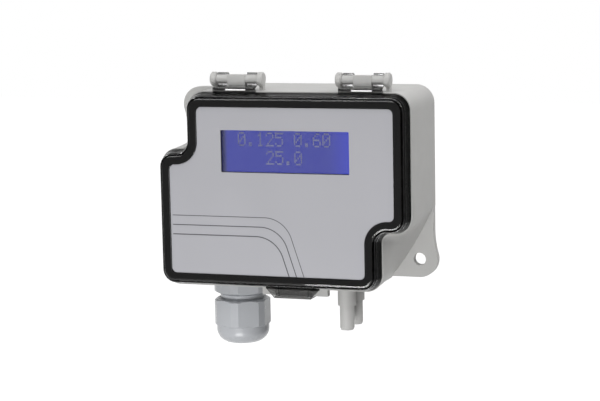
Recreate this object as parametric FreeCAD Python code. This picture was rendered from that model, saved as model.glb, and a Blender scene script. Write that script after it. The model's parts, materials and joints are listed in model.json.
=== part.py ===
import FreeCAD, Part
import math
import os

# Differential pressure transmitter in a wall-mounted case, millimetres.
# X runs to the right, Y from the front to the wall, Z up. The origin lies on the rear face of the
# case (the face that meets the wall), at the centre of the case outline.
# The case is an ABS moulding with two mounting ears, hinge pins and two hose nozzles. A clear lid
# swings up on the pins. It carries a printed label, whose window shows the display behind it.

V = FreeCAD.Vector

# ---- driving dimensions -------------------------------------------------------------------------
# case outline: a rectangle with a notch at its upper left and lower right
CASE_W = 90.0
CASE_H = 67.7
CASE_D = 29.3            # wall face to the plane where the lid lands
CORNER_R = 6.0
NOTCH_W = 10.4
NOTCH_Z = 13.9           # height of each notch's step above or below the centre
NOTCH_R = 3.0
DRAFT = 0.4              # the case grows by this much on each side towards the wall
WALL = 2.8
FLOOR = 2.4
EPS = 0.5                # how far cutting tools run past a face

# sealing rib on the case rim
RIB_W = 1.2
RIB_H = 1.0
RIB_GAP = 0.15           # between the rib and the lid's skirt

# mounting ears
EAR_T = 3.0
EAR_R = 6.4
EAR_IN_X = 4.7           # from the side wall to the screw hole
EAR_IN_Z = 7.2           # from the bottom wall to the screw hole
EAR_BLEND = 10.15        # from the hole up to where the ear's edge leaves the side wall
HOLE_R = 2.2
SLOT_L = 7.4             # end to end
SCOOP_BOW = 1.1          # how far the foot of the scoop bulges from a straight line
SCOOP_SPLIT = (0.0, 0.25, 0.33, 0.5, 0.85, 1.0)

# lid
LID_D = 5.5
LID_PLATE = 2.05
LID_SKIRT = 1.0
LID_STEP = 0.35          # the lid's foot stands this far inside the case outline
LID_FRONT_STEP = 1.5     # and its front this far, so its sides lean inwards
LID_EDGE_R = 1.7
LID_RIB_W = 1.2
LID_RIB_H = 2.6
LABEL_INSET = 5.0
LABEL_T = 0.25
LABEL_SUNK = 0.5         # the label's face lies this far behind the lid's front
LABEL_GAP = 0.15
LABEL_CORNER_R = 6.8     # at the lid's edge; the label's own corners are this less its inset
WINDOW_W = 45.75
WINDOW_H = 14.5
WINDOW_X = 1.93
WINDOW_R = 0.3
WINDOW_DROP = 20.05      # from the top of the case to the middle of the window
GASKET_GAP = 0.1

# hinges
HINGE_RISE = 3.95        # pin above the top of the case
HINGE_BACK = 3.5         # pin behind the plane where the lid lands
HINGE_OFFSET = 22.5      # from the middle of the top edge to each hinge
PIN_R = 1.6
PIN_FIT = 0.06           # radial running clearance of the lid's hooks
DISC_R = 2.45
DISC_T = 2.1
DISC_BEVEL = 0.4
HINGE_W = 19.0
BARREL_W = 6.4
BARREL_FRONT = 1.75      # from the pin's axis to the faces of the square barrel
BARREL_TOP = 1.5
BARREL_LOW = 2.05
HOOK_R = 2.3
HOOK_GAP = 0.4
HOOK_FROM = -115.0
HOOK_TO = 100.0
TAB_W = 15.4
TAB_T = 0.8
TAB_H = 1.35

# snap latch at the bottom
LATCH_X = 2.4
TONGUE_TOP_W = 19.2
TONGUE_LOW_W = 13.2
TONGUE_H = 3.4
TONGUE_T = 1.5
TONGUE_FRONT = 0.8       # in front of the plane where the lid lands
CATCH_W = 23.6
CATCH_T = 2.6
CATCH_H = 2.7
CATCH_GAP = 0.35
LIP_T = 0.6
BARB_H = 0.35
BARB_T = 0.8
TONGUE_RIB_X = 5.8
TONGUE_RIB_T = 0.9

# hose nozzles
NOZZLE_IN_X = 26.0       # from the right side wall
NOZZLE_REAR_Y = -10.5
NOZZLE_PITCH = 10.2
NOZZLE_ROOT_R = 3.15
NOZZLE_ROOT_L = 6.55
NOZZLE_TIP_R = 2.5
NOZZLE_TIP_L = 8.6
NOZZLE_BORE_R = 1.5
NOZZLE_FOOT = 0.6
SPIGOT_R = 2.2
SPIGOT_L = 5.0

# cable gland
GLAND_SIDE = 21.0        # left of the centre
GLAND_Y = -16.3
GLAND_THREAD_R = 8.0
GLAND_HOLE_R = 8.15
GLAND_BORE_R = 5.4
WASHER_T = 0.6
WASHER_R = 9.4
SPOT_GAP = 0.6           # the flat that takes the washer reaches this far past it
FLANGE_AF = 18.3
FLANGE_H = 3.5
FLANGE_TURN = -87.5
NECK_R = 7.4
NECK_L = 13.0
NUT_AF = 18.3
NUT_TURN = -87.5
NUT_GAP = 2.25           # visible neck between flange and nut
NUT_H = 9.65
NUT_MOUTH = 1.0          # countersink round the neck
DOME_R = 9.25
DOME_H = 6.0
DOME_ROUND = 4.7
DOME_HOLE_R = 5.0
SEAL_R = 7.0
SEAL_HOLE_R = 4.0
SEAL_L = 6.0
COLLAR_T = 0.35          # ring moulded round the neck, below the flange
COLLAR_TOP = 0.5
COLLAR_LOW = 1.5
HEX_LAND = 0.25          # the chamfer of each hexagon starts this far inside its flats
HEX_CHAMFER = 30.0
HEX_CORNERS = 1.0672     # across the small flats on the corners, over across the main flats
LOCKNUT_AF = 21.0
LOCKNUT_TURN = -60.0
LOCKNUT_H = 4.0
THREAD_FIT = 0.05
SMALL_FIT = 0.08         # round each small loose part

# boards and display
BOARD_T = 1.6
BOARD_LIFT = 2.4
BOARD_GAP = 1.0
BOARD_CORNER_R = 1.5
BOARD_NUT_GAP = 1.5      # from the gland's locknut to the edge of the board
BOSS_R = 3.0
BOSS_IN = 6.9            # from each outer wall to the boss beside it
BOSS_LEFT_Z = 10.0       # the lower left boss stands this far below the centre
SCREW_R = 1.05
SCREW_HOLE_R = 1.1
SCREW_CLEAR_R = 1.45
SCREW_HEAD_R = 2.3
SCREW_HEAD_H = 1.6
SCREW_L = 5.2
SCREW_SLOT_W = 0.6
SCREW_SLOT_D = 0.7
LCD_BOARD_W = 56.0
LCD_BOARD_H = 28.0
LCD_BOARD_T = 1.2
LCD_BOARD_R = 1.0
BEZEL_W = 50.6
BEZEL_H = 24.6
BEZEL_T = 0.5
BEZEL_R = 0.8
BEZEL_WINDOW_W = 46.4
BEZEL_WINDOW_H = 14.35
BEZEL_D = 5.8
LCD_GLASS_T = 2.2
LCD_FIT = 0.2
LCD_TO_LID = 0.35
SPACER_R = 2.5
SPACER_DX = 22.0
SPACER_DZ = 9.0
HEADER_PINS = 14
HEADER_PITCH = 2.54
HEADER_BODY_H = 8.5
HEADER_BODY_T = 2.5
HEADER_RISE = 10.8       # above the middle of the window
PIN_W = 0.64

# sensor and its hoses
SENSOR_W = 16.0
SENSOR_D = 7.8
SENSOR_H = 13.0
SENSOR_RISE = 14.85      # from the bottom of the case to the sensor
TOWER_W = 11.0
TOWER_D = 9.9
TOWER_H = 9.0
TUBE_R = 3.4
TUBE_FIT = 0.05
TUBE_END_GAP = 0.3
PORT_L = 5.0

# terminal block
POLES = 4
POLE_PITCH = 5.08
TERMINAL_SHIFT = 2.4     # left of the gland's axis
TERMINAL_RISE = 12.65    # from the bottom of the case to the wire entries
TERMINAL_H = 8.6
TERMINAL_D = 10.6
TERMINAL_BEVEL = 2.0
ENTRY_W = 3.4
ENTRY_H = 3.6
ENTRY_L = 6.0
WELL_R = 1.9
CLAMP_T = 0.5
TERMINAL_SCREW_R = 1.45
TERMINAL_SCREW_SUNK = 1.2

# push button
BUTTON_SHIFT = 20.0      # right of the gland's axis
BUTTON_RISE = 13.85
BUTTON_BASE_W = 6.0
BUTTON_BASE_H = 3.5
BUTTON_R = 1.7
BUTTON_FLOOR = 1.0
BUTTON_ROUND = 0.3
BUTTON_L = 5.6
BUTTON_TRAVEL = 0.25

# jumpers and soldered parts
JUMPER_IN_X = 14.6       # from the right side wall to the left end of the header
JUMPER_RISE = 7.9        # above the step of the lower right notch
JUMPER_COLUMNS = 4
JUMPER_PIN_L = 8.5
JUMPERS_SET = (0, 2)
CAP_OVER = 1.0           # each shunt reaches this far past the pins
CAP_ROOF = 0.8
CHIP_W = 7.0
CHIP_H = 1.4
CHIP_LIFT = 0.2
CHIP_SHIFT = 21.5        # right of the gland's axis
CHIP_RISE = 24.85
CHIP_LEADS = 10
CHIP_PITCH = 0.6
CHIP_LEAD_W = 0.3
CHIP_LEAD_L = 1.0
CAN_R = 3.3
CAN_H = 7.7
CAN_FOOT_H = 1.2
CAN_ROUND = 0.4
CAN_IN = 0.2             # the can is this much smaller than its foot
CAN_GROOVE_UP = 0.4      # from the foot to the groove
CAN_GROOVE_W = 0.5
CAN_GROOVE_T = 0.3
# places on the board, right of the gland's axis and above the bottom of the case
CAN_AT = ((-9.6, 28.85), (12.6, 18.85))
# the same, with the width, height and thickness of each small chip
CHIP_PARTS = ((-1.0, 25.85, 6.5, 3.6, 1.6), (8.5, 26.35, 5.0, 4.0, 1.75), (3.8, 27.45, 2.0, 1.25, 0.6),
              (3.8, 25.25, 2.0, 1.25, 0.6), (13.0, 27.85, 1.25, 2.0, 0.6), (25.8, 18.85, 2.0, 1.25, 0.6),
              (25.4, 13.85, 3.2, 1.6, 0.6), (25.4, 11.25, 3.2, 1.6, 0.6), (13.5, 23.85, 1.6, 0.8, 0.5))
# left of the right side wall, above the step of the lower right notch, and the same three sizes
CHIPS_AT_RIGHT = ((11.0, 11.9, 3.0, 1.75, 1.1), (6.4, 12.0, 2.0, 1.25, 0.6))

# ---- planes worked out from the dimensions ------------------------------------------------------
RIM_Y = -CASE_D
LID_FRONT_Y = RIM_Y - LID_D
LID_INNER_Y = LID_FRONT_Y + LID_PLATE
LABEL_FACE_Y = LID_FRONT_Y + LABEL_SUNK
LABEL_SEAT_Y = LABEL_FACE_Y + LABEL_T
SIDE_X = CASE_W / 2
BOTTOM_Z = -CASE_H / 2
TOP_Z = CASE_H / 2
CAVITY_LOW_Z = BOTTOM_Z + WALL
EAR_X = SIDE_X - EAR_IN_X
EAR_Z = TOP_Z - EAR_IN_Z
WINDOW_Z = TOP_Z - WINDOW_DROP
HEADER_Z = WINDOW_Z + HEADER_RISE
TOP_MID_X = NOTCH_W / 2
HINGE_X = (TOP_MID_X - HINGE_OFFSET, TOP_MID_X + HINGE_OFFSET)
HINGE_Y = RIM_Y + HINGE_BACK
HINGE_Z = TOP_Z + HINGE_RISE
NOZZLE_X = SIDE_X - NOZZLE_IN_X
NOZZLE_FRONT_Y = NOZZLE_REAR_Y - NOZZLE_PITCH
GLAND_X = -GLAND_SIDE
BOSS_AT = ((BOSS_IN + NOTCH_W - SIDE_X, TOP_Z - BOSS_IN),
           (SIDE_X - BOSS_IN, TOP_Z - BOSS_IN),
           (SIDE_X - NOTCH_W - BOSS_IN, BOTTOM_Z + BOSS_IN),
           (BOSS_IN - SIDE_X, -BOSS_LEFT_Z))
SENSOR_LOW_Z = BOTTOM_Z + SENSOR_RISE
TERMINAL_X = GLAND_X - TERMINAL_SHIFT
TERMINAL_LOW_Z = BOTTOM_Z + TERMINAL_RISE
BUTTON_X = GLAND_X + BUTTON_SHIFT
BUTTON_Z = BOTTOM_Z + BUTTON_RISE
JUMPER_X = SIDE_X - JUMPER_IN_X
JUMPER_Z = JUMPER_RISE - NOTCH_Z
CHIP_X = GLAND_X + CHIP_SHIFT
CHIP_Z = BOTTOM_Z + CHIP_RISE
BOARD_BACK_Y = -FLOOR - BOARD_LIFT
BOARD_Y = BOARD_BACK_Y - BOARD_T
FLANGE_TOP_Z = BOTTOM_Z - WASHER_T
FLANGE_LOW_Z = FLANGE_TOP_Z - FLANGE_H
NUT_TOP_Z = FLANGE_LOW_Z - NUT_GAP
NUT_LOW_Z = NUT_TOP_Z - NUT_H
DOME_LOW_Z = NUT_LOW_Z - DOME_H
BEZEL_FRONT_Y = LID_INNER_Y + LCD_TO_LID
LCD_BOARD_Y = BEZEL_FRONT_Y + BEZEL_D
LID_LEAN = (LID_FRONT_STEP - LID_STEP) / LID_D
RIB_INSET = LID_STEP + LID_LEAN * RIB_H + LID_SKIRT + RIB_GAP


# ---- shape helpers ------------------------------------------------------------------------------
def rounded_points(points, radii):
    """Tangent start, middle and end of the arc at each corner of a polygon, as (a, mid, b)."""
    arcs = []
    count = len(points)
    for i, corner in enumerate(points):
        before = (points[i - 1] - corner).normalize()
        after = (points[(i + 1) % count] - corner).normalize()
        half = before.getAngle(after) / 2
        inward = (before + after).normalize()
        reach = radii[i] / math.tan(half)
        to_centre = radii[i] / math.sin(half)
        start = corner + before * reach
        end = corner + after * reach
        middle = corner + inward * (to_centre - radii[i])
        arcs.append((start, middle, end))
    return arcs


def rounded_wire(points, radii):
    """Closed wire of straight runs joined by tangent arcs."""
    arcs = rounded_points(points, radii)
    edges = []
    for i, (start, middle, end) in enumerate(arcs):
        previous_end = arcs[i - 1][2]
        if previous_end.distanceToPoint(start) > 1e-6:
            edges.append(Part.LineSegment(previous_end, start).toShape())
        edges.append(Part.Arc(start, middle, end).toShape())
    return Part.Wire(edges)


def notched_points(inset, y):
    """Sharp corners of the outline that lid and case share, moved inwards."""
    a = CASE_W / 2 - inset
    b = CASE_H / 2 - inset
    nx = CASE_W / 2 - NOTCH_W - inset
    nz = NOTCH_Z - inset
    half = [(-nx, b), (a, b), (a, -nz), (nx, -nz)]
    return [V(x, y, z) for x, z in half] + [V(-x, y, -z) for x, z in half]


def notched_wire(inset, y, corner_r=CORNER_R):
    outer = corner_r - inset
    inner = NOTCH_R + inset
    return rounded_wire(notched_points(inset, y), [outer, outer, outer, inner] * 2)


def notched_slab(inset, y0, y1, corner_r=CORNER_R):
    face = Part.Face(notched_wire(inset, y0, corner_r))
    return face.extrude(V(0, y1 - y0, 0))


def notched_taper(inset0, y0, inset1, y1):
    """Block over the notched outline whose inset changes evenly from one plane to the other."""
    return Part.makeLoft([notched_wire(inset0, y0), notched_wire(inset1, y1)], True, True)


def rectangle_wire(width, height, radius, y, x=0.0, z=0.0):
    corners = [(-1, 1), (1, 1), (1, -1), (-1, -1)]
    points = [V(x + i * width / 2, y, z + k * height / 2) for i, k in corners]
    return rounded_wire(points, [radius] * 4)


def rounded_plate(width, height, radius, y0, y1, x=0.0, z=0.0):
    return Part.Face(rectangle_wire(width, height, radius, y0, x, z)).extrude(V(0, y1 - y0, 0))


def box(x0, x1, y0, y1, z0, z1):
    return Part.makeBox(x1 - x0, y1 - y0, z1 - z0, V(x0, y0, z0))


def rod_x(radius, x0, x1, y, z):
    return Part.makeCylinder(radius, x1 - x0, V(x0, y, z), V(1, 0, 0))


def rod_y(radius, y0, y1, x, z):
    return Part.makeCylinder(radius, y1 - y0, V(x, y0, z), V(0, 1, 0))


def rod_z(radius, z0, z1, x, y):
    return Part.makeCylinder(radius, z1 - z0, V(x, y, z0), V(0, 0, 1))


def polygon_yz(points, x0, x1):
    """Prism along X over a polygon given as (y, z) pairs."""
    corners = [V(x0, y, z) for y, z in points]
    wire = Part.makePolygon(corners + corners[:1])
    return Part.Face(wire).extrude(V(x1 - x0, 0, 0))


def polygon_xz(points, y0, y1):
    corners = [V(x, y0, z) for x, z in points]
    wire = Part.makePolygon(corners + corners[:1])
    return Part.Face(wire).extrude(V(0, y1 - y0, 0))


def hex_prism(across_flats, z0, z1, x, y, turn):
    """Upright hexagonal prism. One corner points along the angle turn, in degrees from +X."""
    corner_r = across_flats / math.sqrt(3)
    angles = [math.radians(turn + 60 * i) for i in range(6)]
    corners = [V(x + corner_r * math.cos(t), y + corner_r * math.sin(t), z0) for t in angles]
    return Part.Face(Part.makePolygon(corners + corners[:1])).extrude(V(0, 0, z1 - z0))


def revolved_z(profile, x, y):
    """Solid of revolution about an upright axis, from a closed list of (radius, z) points."""
    corners = [V(x + r, y, z) for r, z in profile]
    face = Part.Face(Part.makePolygon(corners + corners[:1]))
    return face.revolve(V(x, y, 0), V(0, 0, 1), 360)


def fuse(shapes):
    body = shapes[0]
    for shape in shapes[1:]:
        body = body.fuse(shape)
    return body.removeSplitter()


def cut(body, tools):
    for tool in tools:
        body = body.cut(tool)
    return body


def half_turn(shape):
    """Copy turned by 180 degrees about the Y axis, as the case outline repeats itself."""
    copy = shape.copy()
    copy.rotate(V(0, 0, 0), V(0, 1, 0), 180)
    return copy


def group(shapes):
    return Part.makeCompound(shapes)


# ---- housing ------------------------------------------------------------------------------------
def ear_plate():
    """Mounting ear at the lower right: a disc that runs into the side wall in one smooth sweep."""
    side_x = CASE_W / 2 + DRAFT * 0.75
    offset = side_x - EAR_X
    blend_z = EAR_BLEND - EAR_Z
    top_z = CORNER_R - NOTCH_Z
    blend_r = (offset ** 2 + EAR_BLEND ** 2 - EAR_R ** 2) / (2 * (EAR_R - offset))
    centre = V(EAR_X, 0, -EAR_Z)
    blend_centre = V(side_x + blend_r, 0, blend_z)
    to_disc = (blend_centre - centre).normalize()
    meet = centre + to_disc * EAR_R
    start = V(side_x, 0, blend_z)
    halfway = ((start + meet) * 0.5 - blend_centre).normalize()
    blend_mid = blend_centre + halfway * blend_r
    low = centre + V(0, 0, -EAR_R)
    disc_mid = centre + (V(0, 0, -1) + to_disc).normalize() * EAR_R
    inner_x = CASE_W / 2 - NOTCH_W - CORNER_R
    low_inner = V(inner_x, 0, low.z)
    high_inner = V(inner_x, 0, top_z)
    high = V(side_x, 0, top_z)
    edges = [Part.LineSegment(low_inner, low).toShape(),
             Part.Arc(low, disc_mid, meet).toShape(),
             Part.Arc(meet, blend_mid, start).toShape(),
             Part.LineSegment(start, high).toShape(),
             Part.LineSegment(high, high_inner).toShape(),
             Part.LineSegment(high_inner, low_inner).toShape()]
    return Part.Face(Part.Wire(edges)).extrude(V(0, -EAR_T, 0))


def scoop():
    """Space in front of the lower right ear. At the rim it follows the notch of the lid, and
    its wall slopes from there to a gently bowed foot on the ear."""
    arcs = rounded_points(notched_points(0, RIM_Y), [CORNER_R, CORNER_R, CORNER_R, NOTCH_R] * 2)
    side, inner, low = arcs[2], arcs[3], arcs[4]
    far_x = CASE_W / 2 + EAR_R
    far_z = BOTTOM_Z - EAR_R
    rim_edges = [Part.Arc(*side),
                 Part.LineSegment(side[2], inner[0]),
                 Part.Arc(*inner),
                 Part.LineSegment(inner[2], low[0]),
                 Part.Arc(*low)]
    start = V(CASE_W / 2 + DRAFT, -EAR_T, side[0].z)
    end = V(low[2].x + EPS, -EAR_T, BOTTOM_Z - DRAFT)
    sideways = V(start.z - end.z, 0, end.x - start.x).normalize()
    bow = Part.Arc(start, (start + end) * 0.5 + sideways * SCOOP_BOW, end)
    span = bow.LastParameter - bow.FirstParameter

    def on_foot(share):
        return bow.value(bow.FirstParameter + span * share)

    foot_edges = [Part.Arc(on_foot(a), on_foot((a + b) / 2), on_foot(b))
                  for a, b in zip(SCOOP_SPLIT, SCOOP_SPLIT[1:])]

    def closed(edges, y):
        first = edges[0].StartPoint
        last = edges[-1].EndPoint
        corners = [last, V(last.x, y, far_z), V(far_x, y, far_z), V(far_x, y, first.z), first]
        sides = [Part.LineSegment(a, b) for a, b in zip(corners, corners[1:])]
        return Part.Wire([edge.toShape() for edge in edges + sides])

    foot = closed(foot_edges, -EAR_T)
    sloped = Part.makeLoft([closed(rim_edges, RIM_Y), foot], True, True)
    behind_ear = Part.Face(foot).extrude(V(0, EAR_T + EPS, 0))
    return sloped, behind_ear


def screw_slot():
    """Keyway of the upper left ear: a hole drawn out sideways."""
    reach = SLOT_L / 2 - HOLE_R
    ends = [rod_y(HOLE_R, -EAR_T - EPS, EPS, -EAR_X + side * reach, EAR_Z) for side in (-1, 1)]
    middle = box(-EAR_X - reach, -EAR_X + reach, -EAR_T - EPS, EPS, EAR_Z - HOLE_R, EAR_Z + HOLE_R)
    return fuse(ends + [middle])


def case_shell():
    front = rectangle_wire(CASE_W, CASE_H, CORNER_R, RIM_Y)
    rear = rectangle_wire(CASE_W + 2 * DRAFT, CASE_H + 2 * DRAFT, CORNER_R + DRAFT, 0)
    block = Part.makeLoft([front, rear], True, True)
    sloped, behind_ear = scoop()
    tools = [sloped, behind_ear]
    shell = cut(block, tools + [half_turn(tool) for tool in tools])
    ear = ear_plate()
    hole = rod_y(HOLE_R, -EAR_T - EPS, EPS, EAR_X, -EAR_Z)
    shell = shell.fuse(ear).fuse(half_turn(ear))
    cavity = notched_slab(WALL, RIM_Y - EPS, -FLOOR)
    return cut(shell, [cavity, hole, screw_slot()])


def rim_rib():
    outer = notched_slab(RIB_INSET, RIM_Y - RIB_H, RIM_Y)
    inner = notched_slab(WALL, RIM_Y - RIB_H - EPS, RIM_Y + EPS)
    return outer.cut(inner)


def hinge_pins(x):
    """Two bevelled end discs, a square middle barrel and the pin through them, all carried by
    arms on the case."""
    half = HINGE_W / 2
    foot_z = TOP_Z - WALL / 4
    parts = [rod_x(PIN_R, x - half + DISC_T / 2, x + half - DISC_T / 2, HINGE_Y, HINGE_Z)]
    for x0 in (x - half, x + half - DISC_T):
        arm = [(HINGE_Y - 0.3 * DISC_R, HINGE_Z - 0.8 * DISC_R),
               (HINGE_Y, HINGE_Z - 1.1 * DISC_R),
               (HINGE_Y, foot_z),
               (HINGE_Y + DISC_R, foot_z),
               (HINGE_Y + DISC_R, HINGE_Z),
               (HINGE_Y, HINGE_Z)]
        disc = rod_x(DISC_R, x0, x0 + DISC_T, HINGE_Y, HINGE_Z)
        rims = [edge for edge in disc.Edges if edge.BoundBox.XLength < 1e-6]
        parts.append(polygon_yz(arm, x0 + DISC_BEVEL, x0 + DISC_T - DISC_BEVEL))
        parts.append(disc.makeChamfer(DISC_BEVEL, rims))
    front_y = HINGE_Y - BARREL_FRONT
    rear_y = HINGE_Y + BARREL_FRONT
    low_z = HINGE_Z - BARREL_LOW
    barrel = [(front_y, HINGE_Z + BARREL_TOP),
              (front_y, low_z),
              (HINGE_Y - BARREL_FRONT / 2, low_z),
              (HINGE_Y - BARREL_FRONT / 2, foot_z),
              (HINGE_Y + 2.0 * BARREL_FRONT, foot_z),
              (rear_y, HINGE_Z),
              (rear_y, HINGE_Z + BARREL_TOP)]
    parts.append(polygon_yz(barrel, x - BARREL_W / 2, x + BARREL_W / 2))
    return parts


def latch_catch():
    """Block under the case that the lid's tongue snaps behind."""
    y0 = RIM_Y + CATCH_GAP + TONGUE_T
    return box(LATCH_X - CATCH_W / 2, LATCH_X + CATCH_W / 2, y0, y0 + CATCH_T, BOTTOM_Z - CATCH_H,
               BOTTOM_Z + EPS)


def nozzle(y):
    """Stepped hose nozzle below the case, with a small flare at its foot, and the spigot that
    carries the sensor's tube inside."""
    root_z = BOTTOM_Z - NOZZLE_ROOT_L
    tip_z = root_z - NOZZLE_TIP_L
    bevel = 0.15 * NOZZLE_TIP_R
    spigot_z = CAVITY_LOW_Z + SPIGOT_L
    profile = [(0, tip_z),
               (NOZZLE_TIP_R - bevel, tip_z),
               (NOZZLE_TIP_R, tip_z + 2 * bevel),
               (NOZZLE_TIP_R, root_z),
               (NOZZLE_ROOT_R, root_z),
               (NOZZLE_ROOT_R, BOTTOM_Z - NOZZLE_FOOT),
               (NOZZLE_ROOT_R + NOZZLE_FOOT, BOTTOM_Z),
               (NOZZLE_ROOT_R + NOZZLE_FOOT, BOTTOM_Z + WALL / 2),
               (SPIGOT_R, BOTTOM_Z + WALL / 2),
               (SPIGOT_R, spigot_z),
               (0, spigot_z)]
    bore = rod_z(NOZZLE_BORE_R, tip_z - EPS, spigot_z + EPS, NOZZLE_X, y)
    return revolved_z(profile, NOZZLE_X, y), bore


def make_housing():
    shapes = [case_shell(), rim_rib(), latch_catch()]
    for x in HINGE_X:
        shapes += hinge_pins(x)
    for x, z in BOSS_AT:
        shapes.append(rod_y(BOSS_R, BOARD_BACK_Y, -FLOOR / 2, x, z))
    spot_r = WASHER_R + SPOT_GAP
    bores = [rod_z(GLAND_HOLE_R, BOTTOM_Z - EPS, CAVITY_LOW_Z + EPS, GLAND_X, GLAND_Y),
             rod_z(spot_r, BOTTOM_Z - DRAFT - EPS, BOTTOM_Z, GLAND_X, GLAND_Y)]
    for y in (NOZZLE_FRONT_Y, NOZZLE_REAR_Y):
        solid, bore = nozzle(y)
        shapes.append(solid)
        bores.append(bore)
    for x, z in BOSS_AT:
        bores.append(rod_y(SCREW_HOLE_R, BOARD_BACK_Y - EPS, -FLOOR / 3, x, z))
    return cut(fuse(shapes), bores)


# ---- lid ----------------------------------------------------------------------------------------
def lid_inset(y):
    """How far the lid's outer face lies inside the case outline at one depth."""
    return LID_STEP + (RIM_Y - y) * LID_LEAN


def lid_shell():
    block = notched_taper(LID_STEP, RIM_Y, LID_FRONT_STEP, LID_FRONT_Y)
    front_edges = [edge for edge in block.Edges
                   if abs(edge.BoundBox.YMin - LID_FRONT_Y) < 1e-6 and edge.BoundBox.YLength < 1e-6]
    block = block.makeFillet(LID_EDGE_R, front_edges)
    mouth_y = RIM_Y + EPS
    hollow = notched_taper(lid_inset(mouth_y) + LID_SKIRT, mouth_y, lid_inset(LID_INNER_Y) + LID_SKIRT,
                           LID_INNER_Y)
    seat = notched_slab(LABEL_INSET - LABEL_GAP, LID_FRONT_Y - EPS, LABEL_SEAT_Y, LABEL_CORNER_R)
    rib_outer = notched_slab(LABEL_INSET, LID_INNER_Y, LID_INNER_Y + LID_RIB_H, LABEL_CORNER_R)
    rib_inner = notched_slab(LABEL_INSET + LID_RIB_W, LID_INNER_Y - EPS, RIM_Y, LABEL_CORNER_R + LID_RIB_W)
    return block.cut(hollow).cut(seat).fuse(rib_outer.cut(rib_inner))


def hinge_hooks(x):
    """Tab on the lid's upper edge with two open hooks, which snap over the pin from the rear."""
    inner_r = PIN_R + PIN_FIT
    start = math.radians(HOOK_FROM)
    end = math.radians(HOOK_TO)
    half_w = HINGE_W / 2 - DISC_T - HOOK_GAP
    inside_w = BARREL_W / 2 + HOOK_GAP

    def at(radius, angle, x0):
        return V(x0, HINGE_Y + radius * math.cos(angle), HINGE_Z + radius * math.sin(angle))

    def ring(x0, x1):
        middle = (start + end) / 2
        edges = [Part.Arc(at(HOOK_R, start, x0), at(HOOK_R, middle, x0), at(HOOK_R, end, x0)),
                 Part.LineSegment(at(HOOK_R, end, x0), at(inner_r, end, x0)),
                 Part.Arc(at(inner_r, end, x0), at(inner_r, middle, x0), at(inner_r, start, x0)),
                 Part.LineSegment(at(inner_r, start, x0), at(HOOK_R, start, x0))]
        face = Part.Face(Part.Wire([edge.toShape() for edge in edges]))
        return face.extrude(V(x1 - x0, 0, 0))

    tab_front = RIM_Y - TAB_T
    tab_top = TOP_Z + TAB_H
    root_z = TOP_Z - lid_inset(tab_front) - LID_SKIRT / 2
    low = at(HOOK_R, math.radians(-85), 0)
    high = at(HOOK_R, start, 0)
    slope = [(tab_front, tab_top - TAB_T),
             (RIM_Y, TOP_Z + CATCH_GAP),
             (low.y, low.z),
             (HINGE_Y, HINGE_Z - 0.5 * (HOOK_R + inner_r)),
             (high.y, high.z),
             (tab_front, tab_top)]
    plate = polygon_yz(slope, x - half_w, x + half_w)
    room_r = math.hypot(BARREL_FRONT, BARREL_LOW) + HOOK_GAP
    room = rod_x(room_r, x - inside_w, x + inside_w, HINGE_Y, HINGE_Z)
    web_room = box(x - inside_w, x + inside_w, HINGE_Y - BARREL_FRONT - HOOK_GAP, HINGE_Y + room_r,
                   TOP_Z - EPS, HINGE_Z)
    pin_room = rod_x(inner_r, x - half_w - EPS, x + half_w + EPS, HINGE_Y, HINGE_Z)
    tab = polygon_yz([(tab_front, root_z), (RIM_Y, root_z), (RIM_Y, tab_top - TAB_T),
                      (tab_front, tab_top)], x - TAB_W / 2, x + TAB_W / 2)
    plate = cut(plate, [room, web_room, pin_room])
    hooks = [ring(x - half_w, x - inside_w), ring(x + inside_w, x + half_w)]
    return [tab, plate] + hooks


def latch_tongue():
    """Tapered tongue under the lid. A lip at its foot passes below the catch and turns up
    behind it."""
    y0 = RIM_Y
    y1 = y0 + TONGUE_T
    low_z = BOTTOM_Z - TONGUE_H
    front = y0 - TONGUE_FRONT
    root_z = BOTTOM_Z + lid_inset(front) + LID_SKIRT / 2
    wide = TONGUE_TOP_W / 2
    narrow = TONGUE_LOW_W / 2
    left = LATCH_X - narrow
    right = LATCH_X + narrow
    face = [(LATCH_X - wide, BOTTOM_Z), (LATCH_X + wide, BOTTOM_Z), (right, low_z), (left, low_z)]
    lip_end = y1 + CATCH_GAP + CATCH_T + CATCH_GAP + BARB_T
    shapes = [polygon_xz(face, front, y0),
              box(LATCH_X - wide, LATCH_X + wide, front, y0, BOTTOM_Z - EPS / 2, root_z),
              box(left, right, front, lip_end, low_z, low_z + LIP_T),
              box(left, right, lip_end - BARB_T, lip_end, low_z, low_z + LIP_T + BARB_H)]
    for x in (LATCH_X - TONGUE_RIB_X, LATCH_X + TONGUE_RIB_X):
        shapes.append(box(x - TONGUE_RIB_T / 2, x + TONGUE_RIB_T / 2, front, y1, low_z,
                          BOTTOM_Z - CATCH_GAP))
    return shapes


def make_lid():
    shapes = [lid_shell()] + latch_tongue()
    for x in HINGE_X:
        shapes += hinge_hooks(x)
    return fuse(shapes)


def make_front_label():
    sheet = notched_slab(LABEL_INSET, LABEL_FACE_Y, LABEL_SEAT_Y, LABEL_CORNER_R)
    window = rounded_plate(WINDOW_W, WINDOW_H, WINDOW_R, LABEL_FACE_Y - EPS, LABEL_SEAT_Y + EPS,
                           WINDOW_X, WINDOW_Z)
    return sheet.cut(window)


def make_lid_gasket():
    """Soft ring between the lid's skirt and its inner rib, pressed by the rib on the case."""
    rear_y = RIM_Y - RIB_H
    outer = notched_taper(lid_inset(rear_y) + LID_SKIRT + GASKET_GAP, rear_y,
                          lid_inset(LID_INNER_Y) + LID_SKIRT + GASKET_GAP, LID_INNER_Y)
    inner = notched_slab(LABEL_INSET - GASKET_GAP, LID_INNER_Y - EPS, RIM_Y, LABEL_CORNER_R)
    return outer.cut(inner)


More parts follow.
